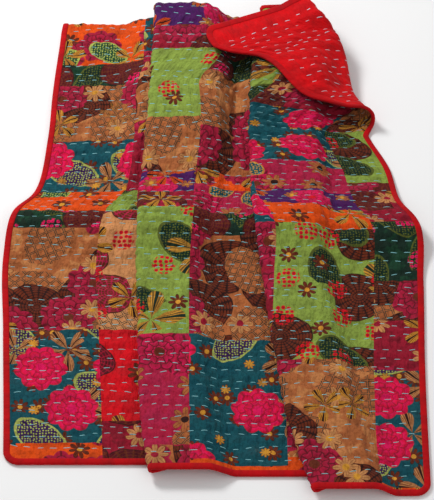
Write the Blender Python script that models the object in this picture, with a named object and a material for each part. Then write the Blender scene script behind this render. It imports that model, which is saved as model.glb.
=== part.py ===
"""Kantha quilt, laid out on a flat surface in two lengthwise pleats.

The top end is folded under, and the top right corner is turned over to show the red backing.
Units are metres, +Z is up, +Y runs from the bottom hem to the top fold, and the floor is z = 0.
"""

import math

import bmesh
import bpy
import numpy as np
from mathutils import Vector

# The quilt before it is folded
WIDTH = 1.27
CORNER_RADIUS = 0.028

# Heights of the layers over the middle surface of the cloth, along its normal
FRONT_FACE = 0.0026
SEAM_GAP = 0.00015
BACK_FACE = -0.0014
RIB_CREST = 0.0008
RIB_GROOVE = -0.0005

# The binding: a folded strip round the edge
BINDING_WIDTH = 0.011
BINDING_INNER = (-0.00180, 0.00300)
BINDING_OUTER = (-0.0030, 0.0042)
BINDING_NOSE = (-0.0026, 0.0038)
BINDING_CLEAR = 0.0005
BINDING_PROUD = 0.0017

# How the layers lie on each other
REST_INSIDE = 0.0014
REST_EDGE = 0.0030
REST_UNDER = 0.0043
PLEAT_RISE = 0.024
PLEAT_RADIUS = PLEAT_RISE / 4
UNDER_RISE = 0.0108
DROP_LENGTH = 0.045
DROP_AFTER = 0.018
LEAST_TUCK, MOST_TUCK = 0.05, 0.11

# The low roll that crosses the quilt
ROLL_HEIGHT = 0.030
ROLL_Y = 0.055
ROLL_LENGTH = 0.070

# The end that is folded under
UNDER_DEPTH_LEFT = 0.265
UNDER_DEPTH_MIDDLE = 0.250
SWING_DEPTH, SWING_PAST = 0.036, 0.004
FLAP_HEM_DEPTH = 0.060
UNDER_START_LEFT, UNDER_START_RIGHT = 0.35, 0.52
UNDER_START_X = 0.19
UNDER_RAMP = 0.20
UNDER_LEAD = 0.014
UNDER_MARGIN = 0.030

# The corner that is turned over
CURL_RADIUS, OPEN_CURL_RADIUS = 0.014, 0.032
CURL_START = 1.04
CURL_CLOSES_IN = 0.20
CURL_LEAN = (-0.020, -0.008)
FLAP_LOW, FLAP_HIGH = 0.054, 0.072
FLAP_RISE_Y = (0.36, 0.46)
FLAP_SETTLES_IN = 0.06
HEM_LEAN = (-0.45, 0.89, 0.0)

# Stations along the length. v and v_left are distances along the cloth from the bottom hem, at
# the right and the left. The rest are places on the floor: of the left, middle and right panels,
# of the edges and the pleats' folds, and of the turned-over corner's edge.
STATION_COLUMNS = (
    "v", "v_left", "y_left", "y_middle", "y_right",
    "x_left", "x_pleat_1", "x_pleat_2", "x_right", "x_corner", "y_corner",
)
STATIONS = (
    (0.000, 0.000, -0.531, -0.558, -0.602, -0.403, -0.127, 0.180, 0.400, 0.400, -0.602),
    (0.100, 0.100, -0.431, -0.457, -0.502, -0.408, -0.142, 0.152, 0.401, 0.401, -0.502),
    (0.320, 0.320, -0.210, -0.237, -0.290, -0.421, -0.153, 0.116, 0.405, 0.405, -0.290),
    (0.520, 0.520, -0.020, -0.035, -0.085, -0.430, -0.160, 0.093, 0.413, 0.413, -0.085),
    (0.640, 0.640, 0.080, 0.070, 0.030, -0.414, -0.160, 0.080, 0.414, 0.414, 0.030),
    (0.740, 0.740, 0.148, 0.141, 0.105, -0.376, -0.158, 0.073, 0.380, 0.380, 0.105),
    (0.900, 0.900, 0.299, 0.292, 0.218, -0.354, -0.147, 0.070, 0.358, 0.358, 0.218),
    (1.040, 1.015, 0.412, 0.406, 0.310, -0.350, -0.141, 0.070, 0.318, 0.318, 0.310),
    (1.160, 1.075, 0.471, 0.466, 0.385, -0.347, -0.139, 0.071, 0.297, 0.231, 0.355),
    (1.250, 1.120, 0.516, 0.512, 0.445, -0.344, -0.137, 0.074, 0.286, 0.179, 0.405),
    (1.360, 1.180, 0.575, 0.573, 0.530, -0.340, -0.135, 0.082, 0.272, 0.105, 0.485),
    (1.430, 1.218, 0.613, 0.614, 0.580, -0.338, -0.134, 0.098, 0.248, 0.039, 0.500),
    (1.475, 1.235, 0.630, 0.636, 0.605, -0.336, -0.133, 0.112, 0.222, 0.005, 0.515),
)

# Distances along the cloth at which the rows of the solids lie
EDGE_ROWS = (0.0, BINDING_WIDTH, 0.030)
MAIN_ROWS = (
    0.11, 0.24, 0.39, 0.53, 0.60, 0.65, 0.70, 0.76, 0.85, 0.94,
    1.02, 1.045, 1.063, 1.077, 1.089, 1.101, 1.113, 1.124, 1.134, 1.142, 1.151, 1.163, 1.183,
    1.22, 1.27, 1.32, 1.37, 1.42, 1.475,
)
TOP_ROW = 1.475
TOP_TUCK = 0.105
LAST_RIBBED = 1.04
TOP_ARC_CELLS = 3

# Cells across each stretch of a row
LEFT_CELLS, TUCK_CELLS, RIGHT_CELLS = 4, 6, 4
MIDDLE_CELLS = 6 + TUCK_CELLS
INNER_ARC_CELLS, OUTER_ARC_CELLS = 3, 3
RETURN_1_CELLS, RETURN_2_CELLS = 2, 2
CURL_CELLS, FLAP_CELLS = 4, 2

PATCHWORK = {"colour": (0.42, 0.13, 0.10, 1), "roughness": 0.85}
BACKING = {"colour": (0.60, 0.012, 0.015, 1), "roughness": 0.85}
BINDING = {"colour": (0.45, 0.010, 0.015, 1), "roughness": 0.80}


def clear_scene():
    for thing in list(bpy.data.objects):
        bpy.data.objects.remove(thing, do_unlink=True)


def ease(t):
    """0 to 1 with level ends."""
    t = min(max(t, 0.0), 1.0)
    return t * t * (3 - 2 * t)


def lerp(a, b, t):
    return a + (b - a) * t


def station(v):
    """The table's values at v, on smooth curves through its rows."""
    table = np.array(STATIONS)
    knots = table[:, 0]
    i = int(np.clip(np.searchsorted(knots, v) - 1, 0, len(knots) - 2))
    slopes = np.gradient(table, knots, axis=0)
    step = knots[i + 1] - knots[i]
    t = (v - knots[i]) / step
    values = (
        (2 * t**3 - 3 * t**2 + 1) * table[i]
        + (t**3 - 2 * t**2 + t) * step * slopes[i]
        + (3 * t**2 - 2 * t**3) * table[i + 1]
        + (t**3 - t**2) * step * slopes[i + 1]
    )
    return dict(zip(STATION_COLUMNS, values))


def roll(y):
    return ROLL_HEIGHT * math.exp(-(((y - ROLL_Y) / ROLL_LENGTH) ** 2))


def in_pleat(x, start, end):
    """1 over a pleat's hidden folds and 0 away from them, with a drop on each side."""
    return min(ease((x - start + DROP_LENGTH) / DROP_LENGTH), ease((end + DROP_LENGTH - x) / DROP_LENGTH))


def tuck_length(at, flap):
    """How far each pleat's cloth runs under the next panel, from the width that is left over."""
    arcs = 4 * math.pi * PLEAT_RADIUS
    spare = WIDTH - (at["x_right"] - at["x_left"]) - flap - arcs
    return min(max(spare / 4, LEAST_TUCK), MOST_TUCK)


def raised_by(x, y):
    """The height that the folded-under end gives to whatever lies over it."""
    top = station(TOP_ROW)
    starts = (top["x_pleat_1"] - UNDER_MARGIN, top["x_pleat_2"] - UNDER_MARGIN)
    ends = [start + TOP_TUCK + 2 * UNDER_MARGIN for start in starts]
    zones = [in_pleat(x, start, end) for start, end in zip(starts, ends)]
    height = UNDER_RISE + PLEAT_RISE * max(zones)
    past = ease((x - ends[1]) / DROP_LENGTH)
    starts_at = lerp(UNDER_START_LEFT, UNDER_START_RIGHT, ease(x / UNDER_START_X))
    return height * (1 - past) * ease((y - starts_at + UNDER_RAMP) / UNDER_RAMP)


def edge_distance_height(from_edge):
    """The cloth stands higher near its edge, where the binding is thicker than the cloth."""
    return lerp(REST_EDGE, REST_INSIDE, ease((from_edge - 0.015) / 0.030))


def spread(start, end, cells, skip_first=True):
    values = np.linspace(start, end, cells + 1)
    return list(values[1:] if skip_first else values)


def curl(at, flat_end, main_z, radius):
    """The right panel past its fold line: a function of the distance along the cloth."""
    out = np.array([at["x_corner"] - at["x_right"], at["y_corner"] - at["y_right"]]) + CURL_LEAN
    out /= np.linalg.norm(out)
    normal = np.array([1.0, 0.0]) - out
    normal /= np.linalg.norm(normal)
    along = np.array([normal[1], -normal[0]])
    across_rate, along_rate = normal[0], along[0]
    start = np.array([flat_end, at["y_right"]])

    def place(s):
        turn = across_rate * s / radius
        flat = start + along_rate * s * along
        if turn < math.pi:
            flat = flat + radius * math.sin(turn) * normal
            return flat[0], flat[1], main_z + radius * (1 - math.cos(turn))
        back = across_rate * s - math.pi * radius
        flat = flat - back * normal
        low_y, high_y = FLAP_RISE_Y
        settled = lerp(FLAP_LOW, FLAP_HIGH, ease((flat[1] - low_y) / (high_y - low_y)))
        z = lerp(main_z + 2 * radius, settled, ease(back / FLAP_SETTLES_IN))
        return flat[0], flat[1], z

    return place


def section(v):
    """The middle surface across the quilt at v: a list of points, each x, y, z and v."""
    at = station(v)
    reach = math.hypot(at["x_corner"] - at["x_right"], at["y_corner"] - at["y_right"])
    starting = ease((v - CURL_START) / CURL_CLOSES_IN)
    ell = reach + math.pi * CURL_RADIUS * starting
    if v <= CURL_START:
        ell = 0.0
    tuck = tuck_length(at, ell)
    x_0, x_1, x_2 = at["x_left"], at["x_pleat_1"], at["x_pleat_2"]
    r = PLEAT_RADIUS
    points = []

    def add(x, y, level, from_edge, v_here):
        low = edge_distance_height(from_edge)
        z = low + level + roll(y) + raised_by(x, y)
        points.append((x, y, z, v_here))

    def arc(centre_x, level, side, cells, y, v_here):
        for i in range(1, cells + 1):
            turn = math.pi * i / cells
            x = centre_x + side * r * math.sin(turn)
            rise = level + r * (1 - math.cos(turn))
            z = REST_INSIDE + rise + roll(y) + raised_by(centre_x, y)
            points.append((x, y, z, v_here))

    v_left = at["v_left"]
    y_left, y_mid, y_right = at["y_left"], at["y_middle"], at["y_right"]

    # The left panel, down to the hidden fold of the first pleat
    inner_1 = x_1 + tuck - r
    for from_edge in (0.0, BINDING_WIDTH, CORNER_RADIUS):
        add(x_0 + from_edge, y_left, 0.0, from_edge, v_left)
    lead_1 = x_1 - UNDER_LEAD
    stops = spread(x_0 + CORNER_RADIUS, lead_1 - DROP_LENGTH, LEFT_CELLS - 3)
    stops += [lead_1] + spread(lead_1, inner_1, 2)
    for x in stops:
        add(x, y_left, 0.0, x - x_0, v_left)
    arc(inner_1, 0.0, 1, INNER_ARC_CELLS, y_left, v_left)
    for x in spread(inner_1, x_1 + r, RETURN_1_CELLS):
        t = (inner_1 - x) / (inner_1 - x_1 - r)
        add(x, lerp(y_left, y_mid, t), 2 * r, 1.0, v_left)
    arc(x_1 + r, 2 * r, -1, OUTER_ARC_CELLS, y_mid, v_left)

    # The middle panel, which drops off the first pleat and runs under the right panel
    inner_2 = x_2 + tuck - r
    drop_1 = x_1 + tuck + DROP_AFTER
    stops = [lerp(x_1 + r, drop_1, 0.5), drop_1, drop_1 + DROP_LENGTH / 2, drop_1 + DROP_LENGTH]
    lead_2 = x_2 - UNDER_LEAD
    stops += [max(lead_2 - DROP_LENGTH, lerp(stops[-1], lead_2, 0.3)), lead_2]
    stops += spread(lead_2, inner_2, TUCK_CELLS)
    for x in stops:
        level = 4 * r * (1 - ease((x - drop_1) / DROP_LENGTH))
        add(x, y_mid, level, 1.0, v_left)
    arc(inner_2, 0.0, 1, INNER_ARC_CELLS, y_mid, v_left)
    for x in spread(inner_2, x_2 + r, RETURN_2_CELLS):
        t = (inner_2 - x) / (inner_2 - x_2 - r)
        add(x, lerp(y_mid, y_right, t), 2 * r, 1.0, lerp(v_left, v, t))
    arc(x_2 + r, 2 * r, -1, OUTER_ARC_CELLS, y_right, v)

    # The right panel, to its edge or to the fold line of the turned-over corner
    shown = max(ell, CORNER_RADIUS + math.pi * CURL_RADIUS + 0.010)
    flat_end = at["x_right"] - CURL_RADIUS * starting
    first_curl = flat_end - (shown - ell)
    drop_2 = x_2 + tuck + DROP_AFTER

    def right_level(x):
        return 4 * r * (1 - ease((x - drop_2) / DROP_LENGTH))

    knee = min(drop_2, lerp(x_2 + r, first_curl, 0.6))
    for x in spread(x_2 + r, knee, 2) + spread(knee, first_curl, RIGHT_CELLS - 2):
        add(x, y_right, right_level(x), flat_end + ell - x, v)
    main_z = REST_INSIDE + right_level(flat_end) + roll(y_right) + raised_by(flat_end, y_right)
    place = curl(at, flat_end, main_z, lerp(OPEN_CURL_RADIUS, CURL_RADIUS, starting))
    edge_marks = spread(shown, shown - math.pi * CURL_RADIUS, CURL_CELLS)
    edge_marks += spread(edge_marks[-1], CORNER_RADIUS, FLAP_CELLS)
    edge_marks += [BINDING_WIDTH, 0.0]
    for from_edge in edge_marks:
        s = ell - from_edge
        if s <= 0:
            x = flat_end + s
            add(x, y_right, right_level(x), from_edge, v)
        else:
            x, y, z = place(s)
            low = edge_distance_height(from_edge) - REST_INSIDE
            points.append((x, y, z + low, v))
    return np.array(points)


def under_profile(top, at):
    """For each column, the depth that is folded under and the angle of the fold."""
    _, _, pleat_1, middle, inner_2, return_2, pleat_2 = column_marks()
    lead_2 = at["x_pleat_2"] - UNDER_LEAD
    profile = []
    for k, x in enumerate(top[:, 0]):
        if k <= middle:
            depth = lerp(UNDER_DEPTH_LEFT, UNDER_DEPTH_MIDDLE, min(k / pleat_1, 1.0))
            angle = math.pi
        elif k <= inner_2:
            across = (x - at["x_pleat_1"]) / (lead_2 - at["x_pleat_1"])
            depth = lerp(UNDER_DEPTH_MIDDLE, SWING_DEPTH, min(across, 1.0))
            angle = math.pi * (1 - (x - lead_2) / (top[inner_2, 0] - lead_2))
            angle = min(angle, math.pi)
        elif k <= pleat_2:
            depth, angle = SWING_DEPTH, 0.0
        else:
            t = (k - pleat_2) / (len(top) - 1 - pleat_2)
            depth, angle = lerp(SWING_DEPTH, FLAP_HEM_DEPTH, ease(2 * t)), 0.0
        profile.append((depth, angle))
    return profile


def rounded(from_side):
    """How far a rounded corner's edge stands back at this distance from the other side."""
    if from_side >= CORNER_RADIUS:
        return 0.0
    return CORNER_RADIUS - math.sqrt(CORNER_RADIUS**2 - (CORNER_RADIUS - from_side) ** 2)


def middle_surface():
    """The grid of points on the cloth's middle surface: rows along the length, columns across."""
    rows = list(EDGE_ROWS) + list(MAIN_ROWS)
    columns = len(section(0.5))
    sides = [0.0, BINDING_WIDTH, CORNER_RADIUS]
    set_back = [rounded(s) for s in sides]
    stand_back = np.zeros(columns)
    stand_back[:3] = set_back
    stand_back[-3:] = set_back[::-1]
    grid = np.zeros((len(rows), columns, 3))
    for j, v in enumerate(rows):
        lift = edge_distance_height(v) - REST_INSIDE
        for value in np.unique(stand_back):
            shift = value * (1 - v / MAIN_ROWS[0]) if v < MAIN_ROWS[0] else 0.0
            pieces = section(v + shift)
            chosen = stand_back == value
            grid[j, chosen] = pieces[chosen, :3]
        side = np.array([edge_distance_height(s) - REST_INSIDE for s in sides])
        already = np.zeros(columns)
        already[:3] = side
        already[-3:] = side[::-1]
        grid[j, :, 2] += np.maximum(lift - already, 0.0)
    return np.concatenate([grid, folded_end(grid, stand_back)])


def folded_end(grid, stand_back):
    """The rows past the top fold, down under the quilt, or straight on at the right."""
    last = grid[-1]
    at = station(TOP_ROW)
    level = section(TOP_ROW)
    profile = under_profile(level, at)
    *_, inner_2, return_2, pleat_2 = column_marks()
    tangent = np.zeros_like(last)
    for k in range(len(last)):
        t = min(max((k - return_2) / (pleat_2 - return_2), 0.0), 1.0)
        tangent[k] = lerp(np.array([0.0, 1.0, 0.0]), np.array(HEM_LEAN), t)
    rows = [[] for _ in range(TOP_ARC_CELLS + 3)]
    for k, (depth, angle) in enumerate(profile):
        over = level[k, 2]
        under = REST_UNDER + under_level(k, level[k, 0], at)
        radius = (over - under) / 2
        length = angle * radius
        if angle < math.pi:
            length = max(length, 0.2 * (depth - stand_back[k]))
        full = depth
        if k <= inner_2:
            full = max(depth + length + SWING_PAST - SWING_DEPTH, SWING_DEPTH)
        hem = full - stand_back[k]
        inside = hem - BINDING_WIDTH
        arc_end = min(length, 0.7 * inside)
        for i in range(1, TOP_ARC_CELLS + 1):
            mark = arc_end * i / TOP_ARC_CELLS
            rows[i - 1].append(wrapped(last[k], tangent[k], radius, angle, mark, length))
        marks = (lerp(arc_end, inside, 0.6), inside, hem)
        for i, mark in enumerate(marks):
            rows[TOP_ARC_CELLS + i].append(wrapped(last[k], tangent[k], radius, angle, mark, length))
    return np.array(rows)


def column_marks():
    """The columns at which the hidden folds start and end, counted from the left edge."""
    inner_1 = 2 + LEFT_CELLS
    return_1 = inner_1 + INNER_ARC_CELLS
    pleat_1 = return_1 + RETURN_1_CELLS
    middle = pleat_1 + OUTER_ARC_CELLS
    inner_2 = middle + MIDDLE_CELLS
    return_2 = inner_2 + INNER_ARC_CELLS
    pleat_2 = return_2 + RETURN_2_CELLS
    return inner_1, return_1, pleat_1, middle, inner_2, return_2, pleat_2


def under_level(k, x, at):
    """The height of a folded-under layer over the lowest one: the order of the layers is turned over."""
    inner_1, return_1, pleat_1, middle, inner_2, return_2, _ = column_marks()

    def sloping(pleat):
        return PLEAT_RISE * ease((x - at[pleat] + UNDER_LEAD + DROP_LENGTH) / DROP_LENGTH)

    def turning(top, first, cells):
        return top - PLEAT_RADIUS * (1 - math.cos(math.pi * (k - first) / cells))

    if k <= inner_1:
        return sloping("x_pleat_1")
    if k <= return_1:
        return turning(PLEAT_RISE, inner_1, INNER_ARC_CELLS)
    if k <= pleat_1:
        return PLEAT_RISE / 2
    if k <= middle:
        return turning(PLEAT_RISE / 2, pleat_1, OUTER_ARC_CELLS)
    return 0.0


def wrapped(start, tangent, radius, angle, s, length):
    """A point at distance s along a stretch that turns down through the angle and then runs straight."""
    turned = angle * min(s / length, 1.0)
    if angle > 0.05:
        bend = length / angle
        ahead, down = bend * math.sin(turned), bend * (1 - math.cos(turned))
    else:
        ahead, down = min(s, length), 0.0
    rest = max(s - length, 0.0)
    ahead += rest * math.cos(angle)
    down += rest * math.sin(angle)
    return start + ahead * tangent - np.array([0, 0, down])


def surface_normals(grid):
    along = np.gradient(grid, axis=0)
    across = np.gradient(grid, axis=1)
    normal = np.cross(across, along)
    return normal / np.linalg.norm(normal, axis=2)[..., None]


def offset(grid, normals, height):
    return grid + normals * np.asarray(height)[..., None]


def material(name, look):
    made = bpy.data.materials.new(name)
    made.use_nodes = True
    shader = made.node_tree.nodes["Principled BSDF"]
    shader.inputs["Base Color"].default_value = look["colour"]
    shader.inputs["Roughness"].default_value = look["roughness"]
    shader.inputs["Metallic"].default_value = 0.0
    return made


def make_object(name, points, faces, look):
    mesh = bpy.data.meshes.new(name)
    mesh.from_pydata([tuple(p) for p in points], [], faces)
    shape = bmesh.new()
    shape.from_mesh(mesh)
    bmesh.ops.recalc_face_normals(shape, faces=shape.faces)
    shape.to_mesh(mesh)
    shape.free()
    mesh.shade_smooth()
    mesh.materials.append(material(name, look))
    thing = bpy.data.objects.new(name, mesh)
    bpy.context.collection.objects.link(thing)
    return thing


def layer(upper, lower, halves):
    """A closed sheet between two grids. Rows in halves have one more row of points in the upper face."""
    rows, columns = lower.shape[:2]
    points = [p for row in lower for p in row] + [p for row in upper for p in row]
    first_upper = rows * columns
    low = lambda j, k: j * columns + k
    high = lambda j, k: first_upper + j * columns + k
    extra = {}
    for j, mids in halves.items():
        extra[j] = len(points)
        points += list(mids)
    faces = []
    turned = ((0, columns - 2), (rows - 2, 0))
    for j in range(rows - 1):
        for k in range(columns - 1):
            if (j, k) in turned:
                faces.append((low(j, k), low(j + 1, k), low(j, k + 1)))
                faces.append((low(j + 1, k), low(j + 1, k + 1), low(j, k + 1)))
                faces.append((high(j, k), high(j, k + 1), high(j + 1, k)))
                faces.append((high(j + 1, k), high(j, k + 1), high(j + 1, k + 1)))
                continue
            faces.append((low(j, k), low(j + 1, k), low(j + 1, k + 1)))
            faces.append((low(j, k), low(j + 1, k + 1), low(j, k + 1)))
            steps = [high(j, k), high(j + 1, k)]
            beside = [high(j, k + 1), high(j + 1, k + 1)]
            if j in extra:
                steps.insert(1, extra[j] + k)
                beside.insert(1, extra[j] + k + 1)
            for i in range(len(steps) - 1):
                faces.append((steps[i], beside[i + 1], steps[i + 1]))
                faces.append((steps[i], beside[i], beside[i + 1]))
    for j in range(rows - 1):
        for k in (0, columns - 1):
            rim = [high(j, k), high(j + 1, k)]
            if j in extra:
                rim.insert(1, extra[j] + k)
            faces.append(tuple([low(j + 1, k), low(j, k)] + rim))
    for k in range(columns - 1):
        for j in (0, rows - 1):
            faces.append((low(j, k), low(j, k + 1), high(j, k + 1), high(j, k)))
    return points, faces


def quilt_top(grid, normals, row_values):
    """The patchwork with its wadding, raised in soft ribs between the rows of stitches."""
    rows, columns = grid.shape[:2]
    ribbed = [j for j in range(2, len(row_values) - 1) if row_values[j] < LAST_RIBBED]
    height = np.full((rows, columns), FRONT_FACE)
    fade = np.ones(columns)
    fade[:2] = 0
    fade[-2:] = 0
    inner_1, return_1, _, _, inner_2, return_2, _ = column_marks()
    fade[inner_1:return_1 + 1] = 0
    fade[inner_2:return_2 + 1] = 0
    for j in ribbed[1:]:
        height[j] += RIB_GROOVE * fade
    upper = offset(grid, normals, height)
    plain = offset(grid, normals, np.full((rows, columns), FRONT_FACE))
    halves = {}
    for j in ribbed:
        between = (plain[j] + plain[j + 1]) / 2
        up = (normals[j] + normals[j + 1]) / 2
        halves[j] = between + up * (RIB_CREST * fade)[:, None]
    lower = offset(grid, normals, np.full((rows, columns), SEAM_GAP))
    points, faces = layer(upper, lower, halves)
    return make_object("quilt_top", points, faces, PATCHWORK)


def quilt_backing(grid, normals):
    shape = grid.shape[:2]
    upper = offset(grid, normals, np.full(shape, -SEAM_GAP))
    lower = offset(grid, normals, np.full(shape, BACK_FACE))
    points, faces = layer(upper, lower, {})
    return make_object("quilt_backing", points, faces, BACKING)


def rim_pairs(rows, columns):
    """Each rim point of the grid in order, with the point a binding's width inside it."""
    pairs = []
    for k in range(columns):
        pairs.append(((0, k), (1, min(max(k, 1), columns - 2))))
    for j in range(1, rows):
        pairs.append(((j, columns - 1), (min(j, rows - 2), columns - 2)))
    for k in range(columns - 2, -1, -1):
        pairs.append(((rows - 1, k), (rows - 2, min(max(k, 1), columns - 2))))
    for j in range(rows - 2, 0, -1):
        pairs.append(((j, 0), (j, 1)))
    return pairs


def binding(grid, normals):
    """The strip folded round the edge: eight points in each of its sections."""
    rows, columns = grid.shape[:2]
    points, faces = [], []
    pairs = rim_pairs(rows, columns)
    rim = [grid[edge] for edge, _ in pairs]
    outward = []
    for i, (edge, inside) in enumerate(pairs):
        out = rim[i] - grid[inside]
        tangent = rim[(i + 1) % len(rim)] - rim[i - 1]
        tangent /= np.linalg.norm(tangent)
        normal = normals[edge]
        out = out - tangent * out.dot(tangent) - normal * out.dot(normal)
        out /= np.linalg.norm(out)
        outward.append(out)
        inner, outer = grid[inside], rim[i]
        up = normals[inside]
        near = outer + out * BINDING_CLEAR
        far = outer + out * BINDING_PROUD
        points += [
            inner + up * BINDING_OUTER[1],
            far + normal * BINDING_NOSE[1],
            far + normal * BINDING_NOSE[0],
            inner + up * BINDING_OUTER[0],
            inner + up * BINDING_INNER[0],
            near + normal * BINDING_INNER[0],
            near + normal * BINDING_INNER[1],
            inner + up * BINDING_INNER[1],
        ]
    size = 8
    for i in range(len(pairs)):
        a, b = i * size, (i + 1) % len(pairs) * size
        lengthwise = pairs[i][0][1] == pairs[(i + 1) % len(pairs)][0][1]
        for n in range(size):
            m = (n + 1) % size
            if n in (1, 5):
                straight, crossed = points[a + n] + points[b + m], points[b + n] + points[a + m]
                other = (crossed - straight).dot(outward[i]) > 0
            else:
                inwards = n in (2, 6)
                other = inwards == lengthwise
            if other:
                faces.append((a + n, b + n, a + m))
                faces.append((b + n, b + m, a + m))
            else:
                faces.append((a + n, b + n, b + m))
                faces.append((a + n, b + m, a + m))
    return make_object("binding", points, faces, BINDING)


def stand_on_origin(pieces):
    """Moves the pieces so that the middle of the whole quilt's footprint is at the origin."""
    corners = np.array([vertex.co for piece in pieces for vertex in piece.data.vertices])
    low, high = corners.min(axis=0), corners.max(axis=0)
    shift = ((low[0] + high[0]) / 2, (low[1] + high[1]) / 2, low[2])
    for piece in pieces:
        for vertex in piece.data.vertices:
            vertex.co -= Vector(shift)


def build():
    clear_scene()
    row_values = list(EDGE_ROWS) + list(MAIN_ROWS)
    grid = middle_surface()
    normals = surface_normals(grid)
    pieces = [quilt_top(grid, normals, row_values), quilt_backing(grid, normals), binding(grid, normals)]
    stand_on_origin(pieces)


build()
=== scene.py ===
"""Kantha quilt: the look of the cloth, its prints, stitches and binding, on the folds of the solids.

Everything is in metres. A place on the open quilt is (u, v): u from the left edge, v from the
bottom hem. Cloth works out where each such place lies once the quilt is folded.
"""

import math

import bpy
import numpy as np
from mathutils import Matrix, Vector


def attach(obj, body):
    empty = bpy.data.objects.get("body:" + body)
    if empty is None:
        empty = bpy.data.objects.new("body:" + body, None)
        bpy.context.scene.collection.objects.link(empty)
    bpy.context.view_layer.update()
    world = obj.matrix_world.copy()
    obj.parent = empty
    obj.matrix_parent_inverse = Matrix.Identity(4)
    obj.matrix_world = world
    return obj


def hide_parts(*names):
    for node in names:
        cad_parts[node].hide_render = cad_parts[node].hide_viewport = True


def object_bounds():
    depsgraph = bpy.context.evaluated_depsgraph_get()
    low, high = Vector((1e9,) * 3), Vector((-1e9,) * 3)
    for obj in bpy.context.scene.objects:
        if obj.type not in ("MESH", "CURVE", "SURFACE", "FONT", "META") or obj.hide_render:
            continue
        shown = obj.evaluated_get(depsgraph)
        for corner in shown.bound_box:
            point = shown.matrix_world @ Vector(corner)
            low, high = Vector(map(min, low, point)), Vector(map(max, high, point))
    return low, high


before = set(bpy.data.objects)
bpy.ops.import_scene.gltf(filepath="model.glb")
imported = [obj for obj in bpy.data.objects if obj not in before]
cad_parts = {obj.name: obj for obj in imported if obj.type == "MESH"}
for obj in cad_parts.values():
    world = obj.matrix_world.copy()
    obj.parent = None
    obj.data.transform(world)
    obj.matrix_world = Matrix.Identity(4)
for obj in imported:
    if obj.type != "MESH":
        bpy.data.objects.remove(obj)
CAD_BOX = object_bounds()

# The quilt before it is folded
WIDTH, LENGTH = 1.27, 1.52
CORNER_RADIUS = 0.028
BINDING_WIDTH = 0.011

# Heights over the cloth's middle surface
FRONT_FACE, BACK_FACE = 0.0024, -0.0014
BINDING_BOTTOM = -0.0030
REST_LIFT = 0.0008
FLOOR_CLEAR = 0.0002

# Quilting
ROWS = 58
ROW_PITCH = LENGTH / ROWS
STITCH_LENGTH, STITCH_GAP = 0.0160, 0.0100
STITCH_WIDTH, STITCH_HEIGHT = 0.0017, 0.0013
WANDER = 0.0050
THREAD_RIDGE = 0.0001

# Name, place from the quilt's middle, size and power of each soft light
LIGHTS = (
    ("key", (-1.5, 1.6, 2.2), 0.8, 66.0),
    ("fill", (1.6, -2.4, 2.6), 2.6, 16.0),
)
CAMERA_DISTANCE, CAMERA_ELEVATION = 5.0, 50.0
VIEW_WIDTH = 0.881

# How the layers lie on each other, as in the solids
REST_INSIDE = 0.0014
REST_EDGE = 0.0030
REST_UNDER = 0.0043
PLEAT_RISE = 0.024
PLEAT_RADIUS = PLEAT_RISE / 4
UNDER_RISE = 0.0108
DROP_LENGTH = 0.045
DROP_AFTER = 0.018
LEAST_TUCK, MOST_TUCK = 0.05, 0.11

# The low roll that crosses the quilt
ROLL_HEIGHT = 0.030
ROLL_Y = 0.055
ROLL_LENGTH = 0.070

# The end that is folded under
UNDER_DEPTH_LEFT = 0.265
UNDER_DEPTH_MIDDLE = 0.250
SWING_DEPTH, SWING_PAST = 0.036, 0.004
FLAP_HEM_DEPTH = 0.060
UNDER_START_LEFT, UNDER_START_RIGHT = 0.35, 0.52
UNDER_START_X = 0.19
UNDER_RAMP = 0.20
UNDER_LEAD = 0.014
UNDER_MARGIN = 0.030
TOP_ROW = 1.475
TOP_TUCK = 0.105

# The corner that is turned over
CURL_RADIUS, OPEN_CURL_RADIUS = 0.014, 0.032
CURL_START = 1.04
CURL_CLOSES_IN = 0.20
CURL_LEAN = (-0.020, -0.008)
FLAP_LOW, FLAP_HIGH = 0.054, 0.072
FLAP_RISE_Y = (0.36, 0.46)
FLAP_SETTLES_IN = 0.06
HEM_LEAN = (-0.45, 0.89, 0.0)

# Cells across each stretch of a row, finer than in the solids
LEFT_CELLS, TUCK_CELLS, RIGHT_CELLS = 14, 10, 14
MIDDLE_CELLS = 6 + TUCK_CELLS
INNER_ARC_CELLS, OUTER_ARC_CELLS = 8, 8
RETURN_1_CELLS, RETURN_2_CELLS = 4, 4
CURL_CELLS, FLAP_CELLS = 12, 8
TOP_ARC_CELLS, UNDER_CELLS = 8, 22
ROW_STEP = 0.010

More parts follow.
